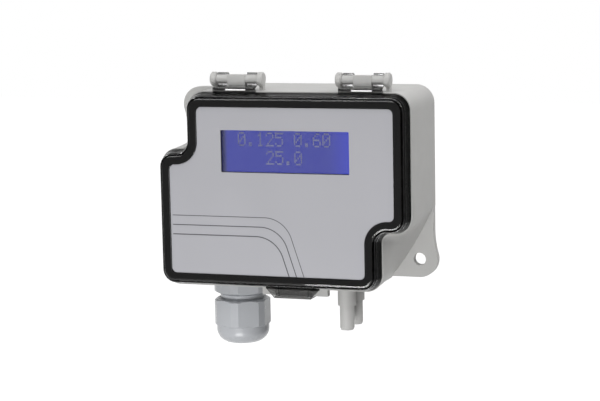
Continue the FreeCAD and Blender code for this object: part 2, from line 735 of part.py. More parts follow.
# ---- cable gland --------------------------------------------------------------------------------
def chamfered_hex(across_flats, z0, z1, turn, low=True, high=True):
    """Hexagon with a small flat on each corner, turned down by a cone at the lower or upper
    end."""
    main = hex_prism(across_flats, z0, z1, GLAND_X, GLAND_Y, turn)
    prism = main.common(hex_prism(across_flats * HEX_CORNERS, z0, z1, GLAND_X, GLAND_Y, turn + 30))
    corner_r = prism.Vertexes[0].Point.distanceToPoint(V(GLAND_X, GLAND_Y, prism.Vertexes[0].Z))
    flat_r = across_flats / 2 - HEX_LAND
    drop = (corner_r - flat_r) * math.tan(math.radians(HEX_CHAMFER))
    profile = [(0, z0), (flat_r if low else corner_r + EPS, z0), (corner_r, z0 + (drop if low else 0)),
               (corner_r, z1 - (drop if high else 0)), (flat_r if high else corner_r + EPS, z1), (0, z1)]
    return prism.common(revolved_z(profile, GLAND_X, GLAND_Y))


def make_gland_body():
    """Hex flange with a threaded stem up through the wall and a fingered sleeve below."""
    stem_top = CAVITY_LOW_Z + LOCKNUT_H + EPS
    neck_low = FLANGE_LOW_Z - NECK_L
    flange = chamfered_hex(FLANGE_AF, FLANGE_LOW_Z, FLANGE_TOP_Z, FLANGE_TURN, high=False)
    stem = rod_z(GLAND_THREAD_R, FLANGE_TOP_Z - EPS, stem_top, GLAND_X, GLAND_Y)
    neck = rod_z(NECK_R, neck_low, FLANGE_LOW_Z + EPS, GLAND_X, GLAND_Y)
    collar = rod_z(NECK_R + COLLAR_T, FLANGE_LOW_Z - COLLAR_LOW, FLANGE_LOW_Z - COLLAR_TOP,
                   GLAND_X, GLAND_Y)
    bore = rod_z(GLAND_BORE_R, neck_low - EPS, stem_top + EPS, GLAND_X, GLAND_Y)
    seal_room = rod_z(SEAL_R, neck_low - EPS, neck_low + SEAL_L, GLAND_X, GLAND_Y)
    return cut(fuse([flange, stem, neck, collar]), [bore, seal_room])


def make_gland_washer():
    top = BOTTOM_Z
    ring = rod_z(WASHER_R, FLANGE_TOP_Z, top, GLAND_X, GLAND_Y)
    return ring.cut(rod_z(GLAND_HOLE_R, FLANGE_TOP_Z - EPS, top + EPS, GLAND_X, GLAND_Y))


def make_gland_locknut():
    z0 = CAVITY_LOW_Z
    z1 = z0 + LOCKNUT_H
    prism = chamfered_hex(LOCKNUT_AF, z0, z1, LOCKNUT_TURN)
    return prism.cut(rod_z(GLAND_THREAD_R + THREAD_FIT, z0 - EPS, z1 + EPS, GLAND_X, GLAND_Y))


def make_gland_seal():
    z0 = FLANGE_LOW_Z - NECK_L
    ring = rod_z(SEAL_R - THREAD_FIT, z0, z0 + SEAL_L, GLAND_X, GLAND_Y)
    return ring.cut(rod_z(SEAL_HOLE_R, z0 - EPS, z0 + SEAL_L + EPS, GLAND_X, GLAND_Y))


def make_gland_dome_nut():
    """Hex nut that runs into a smooth dome with the cable's hole."""
    nut = chamfered_hex(NUT_AF, NUT_LOW_Z, NUT_TOP_Z, NUT_TURN)
    round_z = DOME_LOW_Z + DOME_ROUND
    centre_r = DOME_R - DOME_ROUND
    diagonal = DOME_ROUND / math.sqrt(2)
    x0 = V(GLAND_X, GLAND_Y, 0)

    def at(radius, z):
        return x0 + V(radius, 0, z)

    edges = [Part.LineSegment(at(0, NUT_LOW_Z + EPS), at(DOME_R, NUT_LOW_Z + EPS)),
             Part.LineSegment(at(DOME_R, NUT_LOW_Z + EPS), at(DOME_R, round_z)),
             Part.Arc(at(DOME_R, round_z), at(centre_r + diagonal, round_z - diagonal),
                      at(centre_r, DOME_LOW_Z)),
             Part.LineSegment(at(centre_r, DOME_LOW_Z), at(0, DOME_LOW_Z)),
             Part.LineSegment(at(0, DOME_LOW_Z), at(0, NUT_LOW_Z + EPS))]
    face = Part.Face(Part.Wire([edge.toShape() for edge in edges]))
    dome = face.revolve(x0, V(0, 0, 1), 360)
    neck_low = FLANGE_LOW_Z - NECK_L
    thread = rod_z(NECK_R + THREAD_FIT, neck_low, NUT_TOP_Z + EPS, GLAND_X, GLAND_Y)
    hole = rod_z(DOME_HOLE_R, DOME_LOW_Z - EPS, neck_low + EPS, GLAND_X, GLAND_Y)
    inner_r = NECK_R + THREAD_FIT
    mouth = revolved_z([(0, NUT_TOP_Z - NUT_MOUTH), (inner_r, NUT_TOP_Z - NUT_MOUTH),
                        (inner_r + NUT_MOUTH + EPS, NUT_TOP_Z + EPS), (0, NUT_TOP_Z + EPS)],
                       GLAND_X, GLAND_Y)
    return cut(fuse([nut, dome]), [thread, hole, mouth])


# ---- boards and display -------------------------------------------------------------------------
def make_main_board():
    board = notched_slab(WALL + BOARD_GAP, BOARD_Y, BOARD_BACK_Y, WALL + BOARD_GAP + BOARD_CORNER_R)
    nut_r = LOCKNUT_AF / math.sqrt(3)
    gland_room = box(-SIDE_X, GLAND_X + nut_r + BOARD_NUT_GAP, BOARD_Y - EPS, BOARD_BACK_Y + EPS,
                     BOTTOM_Z, CAVITY_LOW_Z + LOCKNUT_H + BOARD_NUT_GAP)
    holes = [rod_y(SCREW_CLEAR_R, BOARD_Y - EPS, BOARD_BACK_Y + EPS, x, z) for x, z in BOSS_AT]
    return cut(board, [gland_room] + holes)


def make_board_screws():
    screws = []
    for x, z in BOSS_AT:
        head = rod_y(SCREW_HEAD_R, BOARD_Y - SCREW_HEAD_H, BOARD_Y, x, z)
        rim = [edge for edge in head.Edges if abs(edge.BoundBox.YMax - BOARD_Y + SCREW_HEAD_H) < 1e-6]
        head = head.makeFillet(SCREW_HEAD_H * 0.45, rim)
        shank = rod_y(SCREW_R, BOARD_Y - EPS, BOARD_Y - SCREW_HEAD_H + SCREW_L, x, z)
        top = BOARD_Y - SCREW_HEAD_H
        arm = SCREW_HEAD_R * 0.6
        cross = [box(x - arm, x + arm, top - EPS, top + SCREW_SLOT_D, z - SCREW_SLOT_W / 2,
                     z + SCREW_SLOT_W / 2),
                 box(x - SCREW_SLOT_W / 2, x + SCREW_SLOT_W / 2, top - EPS, top + SCREW_SLOT_D,
                     z - arm, z + arm)]
        screws.append(cut(head.fuse(shank), cross))
    return group(screws)


def make_display_board():
    board = rounded_plate(LCD_BOARD_W, LCD_BOARD_H, LCD_BOARD_R, LCD_BOARD_Y, LCD_BOARD_Y + LCD_BOARD_T,
                          WINDOW_X, WINDOW_Z)
    return board


def make_display_bezel():
    """Pressed metal frame that holds the display glass and its backlight on the board."""
    front = BEZEL_FRONT_Y
    shell = rounded_plate(BEZEL_W, BEZEL_H, BEZEL_R, front, LCD_BOARD_Y, WINDOW_X, WINDOW_Z)
    room = box(WINDOW_X - BEZEL_W / 2 + BEZEL_T, WINDOW_X + BEZEL_W / 2 - BEZEL_T,
               front + BEZEL_T, LCD_BOARD_Y + EPS,
               WINDOW_Z - BEZEL_H / 2 + BEZEL_T, WINDOW_Z + BEZEL_H / 2 - BEZEL_T)
    window = rounded_plate(BEZEL_WINDOW_W, BEZEL_WINDOW_H, WINDOW_R, front - EPS, front + BEZEL_T + EPS,
                           WINDOW_X, WINDOW_Z)
    return cut(shell, [room, window])


def behind_bezel(y0, y1):
    half_w = BEZEL_W / 2 - BEZEL_T - LCD_FIT
    half_h = BEZEL_H / 2 - BEZEL_T - LCD_FIT
    return box(WINDOW_X - half_w, WINDOW_X + half_w, y0, y1, WINDOW_Z - half_h, WINDOW_Z + half_h)


def make_display_glass():
    front = BEZEL_FRONT_Y + BEZEL_T
    return behind_bezel(front, front + LCD_GLASS_T)


def make_display_backlight():
    return behind_bezel(BEZEL_FRONT_Y + BEZEL_T + LCD_GLASS_T, LCD_BOARD_Y)


def make_display_spacers():
    posts = []
    for i in (-1, 1):
        for k in (-1, 1):
            x = WINDOW_X + i * SPACER_DX
            z = WINDOW_Z + k * SPACER_DZ
            posts.append(rod_y(SPACER_R, LCD_BOARD_Y + LCD_BOARD_T, BOARD_Y, x, z))
    return group(posts)


def header_x():
    first = WINDOW_X - HEADER_PITCH * (HEADER_PINS - 1) / 2
    return [first + HEADER_PITCH * i for i in range(HEADER_PINS)]


def make_display_socket():
    """Socket strip on the main board, with a square well for each pin."""
    x0 = header_x()[0] - HEADER_PITCH / 2
    x1 = header_x()[-1] + HEADER_PITCH / 2
    top = BOARD_Y - HEADER_BODY_H
    body = box(x0, x1, top, BOARD_Y, HEADER_Z - HEADER_BODY_T / 2, HEADER_Z + HEADER_BODY_T / 2)
    well = PIN_W / 2 + SMALL_FIT
    wells = [box(x - well, x + well, top - EPS, BOARD_Y - HEADER_BODY_T, HEADER_Z - well,
                 HEADER_Z + well) for x in header_x()]
    return body.cut(group(wells))


def make_display_pins():
    half = PIN_W / 2
    low = BOARD_Y - HEADER_BODY_H / 2
    top = LCD_BOARD_Y + LCD_BOARD_T
    pins = [box(x - half, x + half, top, low, HEADER_Z - half, HEADER_Z + half) for x in header_x()]
    strip = box(header_x()[0] - HEADER_PITCH / 2, header_x()[-1] + HEADER_PITCH / 2, top,
                top + HEADER_BODY_T, HEADER_Z - HEADER_BODY_T / 2, HEADER_Z + HEADER_BODY_T / 2)
    return fuse([strip] + pins)


# ---- sensor -------------------------------------------------------------------------------------
def make_pressure_sensor():
    """Sensor block on the main board. Its two ports point down, one above each nozzle."""
    x0 = NOZZLE_X - SENSOR_W / 2
    base = box(x0, x0 + SENSOR_W, BOARD_Y - SENSOR_D, BOARD_Y, SENSOR_LOW_Z, SENSOR_LOW_Z + SENSOR_H)
    t0 = NOZZLE_X - TOWER_W / 2
    tower = box(t0, t0 + TOWER_W, BOARD_Y - SENSOR_D - TOWER_D, BOARD_Y - SENSOR_D + EPS,
                SENSOR_LOW_Z, SENSOR_LOW_Z + TOWER_H)
    shapes = [base, tower]
    bores = []
    for y in (NOZZLE_FRONT_Y, NOZZLE_REAR_Y):
        shapes.append(rod_z(SPIGOT_R, SENSOR_LOW_Z - PORT_L, SENSOR_LOW_Z + EPS, NOZZLE_X, y))
        bores.append(rod_z(NOZZLE_BORE_R, SENSOR_LOW_Z - PORT_L - EPS, SENSOR_LOW_Z + PORT_L,
                           NOZZLE_X, y))
    return cut(fuse(shapes), bores)


def make_sensor_tube(y):
    z0 = CAVITY_LOW_Z + TUBE_END_GAP
    z1 = SENSOR_LOW_Z - TUBE_END_GAP
    tube = rod_z(TUBE_R, z0, z1, NOZZLE_X, y)
    return tube.cut(rod_z(SPIGOT_R + TUBE_FIT, z0 - EPS, z1 + EPS, NOZZLE_X, y))


# ---- terminals, button and small parts ----------------------------------------------------------
def pole_x():
    first = TERMINAL_X - POLE_PITCH * (POLES - 1) / 2
    return [first + POLE_PITCH * i for i in range(POLES)]


def make_terminal_block():
    """Screw terminal block: a wire entry below and a screw well in front for each pole."""
    x0 = pole_x()[0] - POLE_PITCH / 2
    x1 = pole_x()[-1] + POLE_PITCH / 2
    front = BOARD_Y - TERMINAL_D
    z0 = TERMINAL_LOW_Z
    z1 = z0 + TERMINAL_H
    bevel = TERMINAL_BEVEL
    outline = [(BOARD_Y, z0), (front + bevel, z0), (front, z0 + bevel), (front, z1 - bevel),
               (front + bevel, z1), (BOARD_Y, z1)]
    body = polygon_yz(outline, x0, x1)
    tools = []
    entry_y = BOARD_Y - TERMINAL_D / 2 - ENTRY_H / 2
    for x in pole_x():
        tools.append(box(x - ENTRY_W / 2, x + ENTRY_W / 2, entry_y, entry_y + ENTRY_H, z0 - EPS,
                         z0 + ENTRY_L))
        tools.append(rod_y(WELL_R, front - EPS, entry_y + EPS, x, z0 + TERMINAL_H / 2))
    return cut(body, tools)


def make_terminal_clamps():
    """Metal cage in each wire entry, open at its mouth and below the screw."""
    entry_y = BOARD_Y - TERMINAL_D / 2 - ENTRY_H / 2
    gap = SMALL_FIT
    cages = []
    for x in pole_x():
        outer = box(x - ENTRY_W / 2 + gap, x + ENTRY_W / 2 - gap, entry_y + gap,
                    entry_y + ENTRY_H - gap, TERMINAL_LOW_Z + CLAMP_T, TERMINAL_LOW_Z + ENTRY_L)
        inner = box(x - ENTRY_W / 2 + gap + CLAMP_T, x + ENTRY_W / 2 - gap - CLAMP_T,
                    entry_y + gap + CLAMP_T, entry_y + ENTRY_H - gap - CLAMP_T,
                    TERMINAL_LOW_Z, TERMINAL_LOW_Z + ENTRY_L + EPS)
        hole = rod_y(TERMINAL_SCREW_R, entry_y - EPS, entry_y + 2 * CLAMP_T, x,
                     TERMINAL_LOW_Z + TERMINAL_H / 2)
        cages.append(cut(outer, [inner, hole]))
    return group(cages)


def make_terminal_screws():
    front = BOARD_Y - TERMINAL_D + TERMINAL_SCREW_SUNK
    entry_y = BOARD_Y - TERMINAL_D / 2 - ENTRY_H / 2
    z = TERMINAL_LOW_Z + TERMINAL_H / 2
    screws = []
    for x in pole_x():
        head = rod_y(WELL_R - SMALL_FIT, front, entry_y - CLAMP_T, x, z)
        shank = rod_y(TERMINAL_SCREW_R - SMALL_FIT, front, entry_y + CLAMP_T + EPS, x, z)
        slot = box(x - WELL_R, x + WELL_R, front - EPS, front + SCREW_SLOT_D, z - SCREW_SLOT_W / 2,
                   z + SCREW_SLOT_W / 2)
        screws.append(head.fuse(shank).cut(slot))
    return group(screws)


def make_button_base():
    front = BOARD_Y - BUTTON_BASE_H
    half = BUTTON_BASE_W / 2
    body = box(BUTTON_X - half, BUTTON_X + half, front, BOARD_Y, BUTTON_Z - half, BUTTON_Z + half)
    well = rod_y(BUTTON_R + SMALL_FIT, front - EPS, BOARD_Y - BUTTON_FLOOR, BUTTON_X, BUTTON_Z)
    return body.cut(well)


def make_button_plunger():
    back = BOARD_Y - BUTTON_FLOOR - BUTTON_TRAVEL - SMALL_FIT
    plunger = rod_y(BUTTON_R, back - BUTTON_L, back, BUTTON_X, BUTTON_Z)
    rim = [edge for edge in plunger.Edges if abs(edge.BoundBox.YMax - back + BUTTON_L) < 1e-6]
    return plunger.makeFillet(BUTTON_ROUND, rim)


def jumper_x(column):
    return JUMPER_X + HEADER_PITCH * (column + 0.5)


def make_jumper_header():
    """Two rows of pins that the range jumpers bridge."""
    low_z = JUMPER_Z - HEADER_PITCH
    base = box(JUMPER_X, JUMPER_X + JUMPER_COLUMNS * HEADER_PITCH, BOARD_Y - HEADER_BODY_T, BOARD_Y,
               low_z, low_z + 2 * HEADER_PITCH)
    half = PIN_W / 2
    pins = []
    for column in range(JUMPER_COLUMNS):
        for row in (-0.5, 0.5):
            x = jumper_x(column)
            z = JUMPER_Z + HEADER_PITCH * row
            pins.append(box(x - half, x + half, BOARD_Y - JUMPER_PIN_L, BOARD_Y - HEADER_BODY_T / 2,
                            z - half, z + half))
    return fuse([base] + pins)


def make_jumper_caps():
    """Shunts pushed onto some of the pin pairs."""
    caps = []
    half_x = HEADER_PITCH / 2 - SMALL_FIT
    half_z = HEADER_PITCH - SMALL_FIT
    well = PIN_W / 2 + SMALL_FIT
    back = BOARD_Y - HEADER_BODY_T
    front = BOARD_Y - JUMPER_PIN_L - CAP_OVER
    for column in JUMPERS_SET:
        x = jumper_x(column)
        cap = box(x - half_x, x + half_x, front, back, JUMPER_Z - half_z, JUMPER_Z + half_z)
        wells = [box(x - well, x + well, front + CAP_ROOF, back + EPS, JUMPER_Z + HEADER_PITCH * row - well,
                     JUMPER_Z + HEADER_PITCH * row + well) for row in (-0.5, 0.5)]
        caps.append(cut(cap, wells))
    return group(caps)


def make_controller_chip():
    """Flat square package with gull-wing leads on its four sides."""
    half = CHIP_W / 2
    body = box(CHIP_X - half, CHIP_X + half, BOARD_Y - CHIP_H, BOARD_Y - CHIP_LIFT, CHIP_Z - half,
               CHIP_Z + half)
    leads = []
    for i in range(CHIP_LEADS):
        along = (i - (CHIP_LEADS - 1) / 2) * CHIP_PITCH
        low = -CHIP_LEAD_W / 2 + along
        high = CHIP_LEAD_W / 2 + along
        for side in (-1, 1):
            near = side * (half - EPS)
            far = side * (half + CHIP_LEAD_L)
            a, b = min(near, far), max(near, far)
            leads.append(box(CHIP_X + a, CHIP_X + b, BOARD_Y - 2 * CHIP_LIFT, BOARD_Y, CHIP_Z + low,
                             CHIP_Z + high))
            leads.append(box(CHIP_X + low, CHIP_X + high, BOARD_Y - 2 * CHIP_LIFT, BOARD_Y, CHIP_Z + a,
                             CHIP_Z + b))
    return fuse([body] + leads)


def make_capacitors():
    """Electrolytic capacitors: a can on a square foot, with a groove near the foot."""
    cans = []
    for right, rise in CAN_AT:
        x = GLAND_X + right
        z = BOTTOM_Z + rise
        foot = box(x - CAN_R, x + CAN_R, BOARD_Y - CAN_FOOT_H, BOARD_Y, z - CAN_R, z + CAN_R)
        can = rod_y(CAN_R - CAN_IN, BOARD_Y - CAN_H, BOARD_Y - CAN_FOOT_H / 2, x, z)
        rim = [edge for edge in can.Edges if abs(edge.BoundBox.YMax - BOARD_Y + CAN_H) < 1e-6]
        can = can.makeFillet(CAN_ROUND, rim)
        groove_y = BOARD_Y - CAN_FOOT_H - CAN_GROOVE_UP - CAN_GROOVE_W
        groove = rod_y(CAN_R + EPS, groove_y, groove_y + CAN_GROOVE_W, x, z)
        groove = groove.cut(rod_y(CAN_R - CAN_IN - CAN_GROOVE_T, groove_y,
                                  groove_y + CAN_GROOVE_W, x, z))
        cans.append(foot.fuse(can).cut(groove))
    return group(cans)


def make_chip_parts():
    """Small chip resistors, capacitors and regulators soldered to the board."""
    places = [(GLAND_X + right, BOTTOM_Z + rise, *sizes) for right, rise, *sizes in CHIP_PARTS]
    places += [(SIDE_X - left, rise - NOTCH_Z, *sizes) for left, rise, *sizes in CHIPS_AT_RIGHT]
    chips = []
    for x, z, width, height, tall in places:
        chips.append(box(x - width / 2, x + width / 2, BOARD_Y - tall, BOARD_Y, z - height / 2,
                         z + height / 2))
    return group(chips)


NODES = {
    "housing": make_housing,
    "lid": make_lid,
    "front_label": make_front_label,
    "lid_gasket": make_lid_gasket,
    "gland_body": make_gland_body,
    "gland_washer": make_gland_washer,
    "gland_locknut": make_gland_locknut,
    "gland_seal": make_gland_seal,
    "gland_dome_nut": make_gland_dome_nut,
    "main_board": make_main_board,
    "board_screws": make_board_screws,
    "display_board": make_display_board,
    "display_bezel": make_display_bezel,
    "display_glass": make_display_glass,
    "display_backlight": make_display_backlight,
    "display_spacers": make_display_spacers,
    "display_socket": make_display_socket,
    "display_pins": make_display_pins,
    "pressure_sensor": make_pressure_sensor,
    "sensor_tube_front": lambda: make_sensor_tube(NOZZLE_FRONT_Y),
    "sensor_tube_rear": lambda: make_sensor_tube(NOZZLE_REAR_Y),
    "terminal_block": make_terminal_block,
    "terminal_clamps": make_terminal_clamps,
    "terminal_screws": make_terminal_screws,
    "button_base": make_button_base,
    "button_plunger": make_button_plunger,
    "jumper_header": make_jumper_header,
    "jumper_caps": make_jumper_caps,
    "controller_chip": make_controller_chip,
    "capacitors": make_capacitors,
    "chip_parts": make_chip_parts,
}

os.makedirs("parts", exist_ok=True)
for name, make in NODES.items():
    shape = make()
    solids = len(shape.Solids)
    print(name, "solids", solids, "valid", shape.isValid(), "volume", round(shape.Volume, 1))
    shape.exportStep(os.path.join("parts", name + ".step"))
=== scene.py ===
import json
import math

import bmesh
import bpy
from mathutils import Matrix, Vector


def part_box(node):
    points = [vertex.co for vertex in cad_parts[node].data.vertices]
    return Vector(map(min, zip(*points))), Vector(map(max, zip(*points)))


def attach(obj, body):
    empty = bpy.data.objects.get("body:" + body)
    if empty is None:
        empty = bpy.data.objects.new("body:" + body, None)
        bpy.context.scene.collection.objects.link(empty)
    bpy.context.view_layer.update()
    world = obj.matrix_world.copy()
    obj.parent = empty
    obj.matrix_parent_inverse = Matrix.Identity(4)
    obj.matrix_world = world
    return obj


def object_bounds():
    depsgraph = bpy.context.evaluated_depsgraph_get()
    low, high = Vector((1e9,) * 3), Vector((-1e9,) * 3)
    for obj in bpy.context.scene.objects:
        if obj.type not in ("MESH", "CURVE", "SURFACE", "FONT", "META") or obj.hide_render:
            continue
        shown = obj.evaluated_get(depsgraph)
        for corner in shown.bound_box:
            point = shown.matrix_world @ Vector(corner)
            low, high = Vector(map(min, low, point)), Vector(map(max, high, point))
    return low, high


# Differential pressure transmitter: materials, label print, display figures, studio and camera for
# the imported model. Metres, +Z up, -Y towards the viewer.

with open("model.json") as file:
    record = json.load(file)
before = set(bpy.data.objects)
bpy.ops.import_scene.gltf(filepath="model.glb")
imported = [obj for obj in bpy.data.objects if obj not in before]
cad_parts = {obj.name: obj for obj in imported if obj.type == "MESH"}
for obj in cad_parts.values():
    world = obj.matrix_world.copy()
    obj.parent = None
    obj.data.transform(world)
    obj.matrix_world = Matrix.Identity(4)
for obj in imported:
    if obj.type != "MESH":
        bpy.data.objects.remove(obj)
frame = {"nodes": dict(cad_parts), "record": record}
CAD_LOW, CAD_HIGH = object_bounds()
NODES = frame["nodes"]
MM = 0.001

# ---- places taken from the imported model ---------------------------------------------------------
LABEL_LOW, LABEL_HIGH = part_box("front_label")
GLASS_LOW, GLASS_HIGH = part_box("display_glass")

# ---- zones of the lid ---------------------------------------------------------------------------
LABEL_SUNK = 0.5 * MM            # the label's front lies this deep in the lid
POCKET_DEPTH = 0.75 * MM         # of the pocket that takes the label
PLATE_T = 2.05 * MM              # thickness of the lid's front plate
HOOKS_ABOVE = 4.6 * MM           # the hinge hooks begin this far above the label
TONGUE_BELOW = 5.3 * MM          # the snap tongue begins this far below it
FACE_SLACK = 0.15 * MM           # a point this near to a face's depth counts as part of the face
LID_FRONT = LABEL_LOW.y - LABEL_SUNK
PLATE_FACES = (LID_FRONT, LID_FRONT + POCKET_DEPTH, LID_FRONT + PLATE_T)
LID_TOP = LABEL_HIGH.z + HOOKS_ABOVE
LID_BOTTOM = LABEL_LOW.z - TONGUE_BELOW
PLATE_IOR = 1.58
SKIRT_IOR = 1.12                 # low, so that the skirt mirrors little

# ---- sizes of what is added ---------------------------------------------------------------------
PRINT_T = 0.02 * MM              # thickness of a printed line
STRIPE_W = (0.26 * MM, 0.34 * MM, 0.38 * MM)
STRIPE_CORNER = (1.6 * MM, -8.7 * MM)    # where the upper stripe's two straight runs would meet
STRIPE_STEP = (-1.6 * MM, -3.3 * MM)     # from one stripe's corner to the next one's
STRIPE_R = 10.0 * MM             # of the bend
STRIPE_LEAN = math.radians(18)   # of the run that goes down, from the vertical
STRIPE_END_IN = 0.7 * MM         # from the label's left edge
BEND_STEPS = 24
DOT_PITCH_X = 0.58 * MM
DOT_PITCH_Z = 0.70 * MM
DOT_GAP = 0.17 * MM
CELL_PITCH = 3.36 * MM
ROW_LEFT = -15.3 * MM
ROW_TOPS = (20.25 * MM, 14.0 * MM)

# ---- lit display --------------------------------------------------------------------------------
LIT_LEFT = GLASS_LOW.x + 2.2 * MM        # where the lit field begins
DIM_STOPS_WITH_EDGE_SHADE = ((0.0, 0.25), (0.03, 1.08), (0.8, 1.05))     # place across it, share of the dim blue; the low first share is painted shade at the window's left edge

# ---- camera -------------------------------------------------------------------------------------
CAMERA_TARGET = Vector((7.235, -34.3, -2.42)) * MM
CAMERA_DISTANCE = 0.650
CAMERA_AZIMUTH = math.radians(18.708)
CAMERA_ELEVATION = math.radians(8.215)
CAMERA_ROLL = math.radians(-1.14)
CAMERA_LENS = 115.58
SENSOR_WIDTH = 36.0
CLIP_START = 0.01
CLIP_END = 20.0

NOISE_SPAN = (0.3, 0.7)          # most of a noise's values lie between these


# ---- node helpers -------------------------------------------------------------------------------
def new_material(name):
    material = bpy.data.materials.new(name)
    material.use_nodes = True
    tree = material.node_tree
    shader = tree.nodes["Principled BSDF"]
    return material, tree, shader


def link(tree, source, target):
    """Joins an output to an input; a plain number becomes the input's own value."""
    if isinstance(source, float):
        target.default_value = source
    else:
        tree.links.new(source, target)


def maths(tree, operation, *values):
    """A maths node; each value may be a number or a socket."""
    node = tree.nodes.new("ShaderNodeMath")
    node.operation = operation
    for value, socket in zip(values, node.inputs):
        link(tree, value, socket)
    return node.outputs["Value"]


def either(tree, *shares):
    """The largest of some shares, so 1 where any of them is 1."""
    largest = shares[0]
    for share in shares[1:]:
        largest = maths(tree, "MAXIMUM", largest, share)
    return largest


def spread(tree, value, span, low, high):
    """low up to the start of the span, high from its end on, and a straight run between them."""
    node = tree.nodes.new("ShaderNodeMapRange")
    start, end = span
    for source, name in ((value, "Value"), (start, "From Min"), (end, "From Max"),
                         (low, "To Min"), (high, "To Max")):
        link(tree, source, node.inputs[name])
    return node.outputs["Result"]


def blended(tree, share, low, high):
    """low at share 0 and high at share 1; both may be numbers or sockets."""
    return spread(tree, share, (0.0, 1.0), low, high)


def ramp(tree, factor, *stops):
    """Colours along a factor; each stop is a place and a colour."""
    node = tree.nodes.new("ShaderNodeValToRGB")
    elements = node.color_ramp.elements
    for element, (place, colour) in ((elements[0], stops[0]), (elements[1], stops[-1])):
        element.position = place
        element.color = (*colour, 1)
    for place, colour in stops[1:-1]:
        elements.new(place).color = (*colour, 1)
    link(tree, factor, node.inputs["Fac"])
    return node.outputs["Color"]


def position(tree, kind="Object"):
    """Coordinates as a vector: a piece's own, or with Generated the direction in the world."""
    return tree.nodes.new("ShaderNodeTexCoord").outputs[kind]


def axes(tree, vector):
    node = tree.nodes.new("ShaderNodeSeparateXYZ")
    link(tree, vector, node.inputs["Vector"])
    return node.outputs


def object_noise(tree, size, detail=2.0):
    """Noise that stays with its piece, with features of the given size in metres."""
    noise = tree.nodes.new("ShaderNodeTexNoise")
    noise.inputs["Scale"].default_value = 1.0 / size
    noise.inputs["Detail"].default_value = detail
    link(tree, position(tree), noise.inputs["Vector"])
    return noise.outputs["Fac"]


def bump(tree, height, distance):
    node = tree.nodes.new("ShaderNodeBump")
    node.inputs["Distance"].default_value = distance
    link(tree, height, node.inputs["Height"])
    return node.outputs["Normal"]


def tinted(colour, share):
    return tuple(c * share for c in colour)


def vary_tone(tree, shader, colour, size, low, high):
    """Base colour in patches of a size, between two shares of one colour."""
    start, end = NOISE_SPAN
    tone = ramp(tree, object_noise(tree, size), (start, tinted(colour, low)),
                (end, tinted(colour, high)))
    link(tree, tone, shader.inputs["Base Color"])


def vary_gloss(tree, shader, size, low, high):
    """Roughness in patches of a size, between two values."""
    gloss = spread(tree, object_noise(tree, size), NOISE_SPAN, low, high)
    link(tree, gloss, shader.inputs["Roughness"])


def add_grain(tree, shader, size, depth, detail=2.0):
    """Small bumps of a size and depth."""
    link(tree, bump(tree, object_noise(tree, size, detail), depth), shader.inputs["Normal"])


# ---- materials ----------------------------------------------------------------------------------
def moulded(name, colour, roughness, grain=0.35 * MM, depth=0.008 * MM):
    """Moulded plastic or rubber: fine erosion grain, with slight changes of tone and gloss."""
    material, tree, shader = new_material(name)
    vary_tone(tree, shader, colour, size=22 * MM, low=0.97, high=1.03)
    vary_gloss(tree, shader, size=5 * MM, low=roughness - 0.05, high=roughness + 0.05)
    add_grain(tree, shader, grain, depth, detail=3.0)
    return material


def metal(name, colour, roughness):
    material, tree, shader = new_material(name)
    shader.inputs["Metallic"].default_value = 1.0
    vary_tone(tree, shader, colour, size=1.5 * MM, low=0.9, high=1.05)
    vary_gloss(tree, shader, size=0.8 * MM, low=roughness - 0.06, high=roughness + 0.06)
    add_grain(tree, shader, size=0.15 * MM, depth=0.002 * MM)
    return material


def lid_plastic(name, clear, skirt, hook_and_tongue_shade):
    """Polished polycarbonate with the faint waviness of a moulding. The front plate is clear.
    The skirt gets a dark tint, painted shade that stands for the black gasket and the dark inside
    seen through it, and the hinge hooks and the snap tongue a lesser dark tint, painted shade of
    the shaded parts behind them."""
    material, tree, shader = new_material(name)
    place = axes(tree, position(tree))
    is_hook_or_tongue = either(tree, maths(tree, "GREATER_THAN", place["Z"], LID_TOP),
                      maths(tree, "LESS_THAN", place["Z"], LID_BOTTOM))
    is_plate = either(tree, *(maths(tree, "COMPARE", place["Y"], face, FACE_SLACK)
                              for face in PLATE_FACES))
    # the skirt's dark tint is painted shade: the black gasket seen through the clear plastic
    tint = blended(tree, is_plate, skirt, clear)
    # the hooks' and tongue's darker tint is painted shade of the parts behind them
    link(tree, blended(tree, is_hook_or_tongue, tint, hook_and_tongue_shade), shader.inputs["Base Color"])
    polished = either(tree, is_plate, is_hook_or_tongue)
    link(tree, blended(tree, polished, SKIRT_IOR, PLATE_IOR), shader.inputs["IOR"])
    shader.inputs["Transmission Weight"].default_value = 1.0
    vary_gloss(tree, shader, size=8 * MM, low=0.02, high=0.05)
    add_grain(tree, shader, size=6 * MM, depth=0.01 * MM, detail=1.0)
    return material


def label_film(name, colour):
    """Matt printed film with a very fine stipple."""
    material, tree, shader = new_material(name)
    vary_tone(tree, shader, colour, size=30 * MM, low=0.98, high=1.02)
    vary_gloss(tree, shader, size=0.5 * MM, low=0.42, high=0.5)
    add_grain(tree, shader, size=0.12 * MM, depth=0.002 * MM)
    return material


def printed_ink(name, colour):
    material, tree, shader = new_material(name)
    vary_tone(tree, shader, colour, size=0.4 * MM, low=0.9, high=1.1)
    shader.inputs["Roughness"].default_value = 0.45
    return material


def lit_display(name, dim, bright):
    """Backlit liquid crystal: the lamp sits at the right end, so the blue grows that way. The dim
    left end is painted shade of the window's edge.
    """
    material, tree, shader = new_material(name)
    across = spread(tree, axes(tree, position(tree))["X"], (LIT_LEFT, GLASS_HIGH.x), 0.0, 1.0)
    # the first stop's low share is painted shade at the window's left edge
    stops = [(place, tinted(dim, share)) for place, share in DIM_STOPS_WITH_EDGE_SHADE]
    link(tree, ramp(tree, across, *stops, (1.0, bright)), shader.inputs["Emission Color"])
    shader.inputs["Emission Strength"].default_value = 1.0
    shader.inputs["Base Color"].default_value = (0.004, 0.005, 0.02, 1)
    shader.inputs["Roughness"].default_value = 0.25
    return material


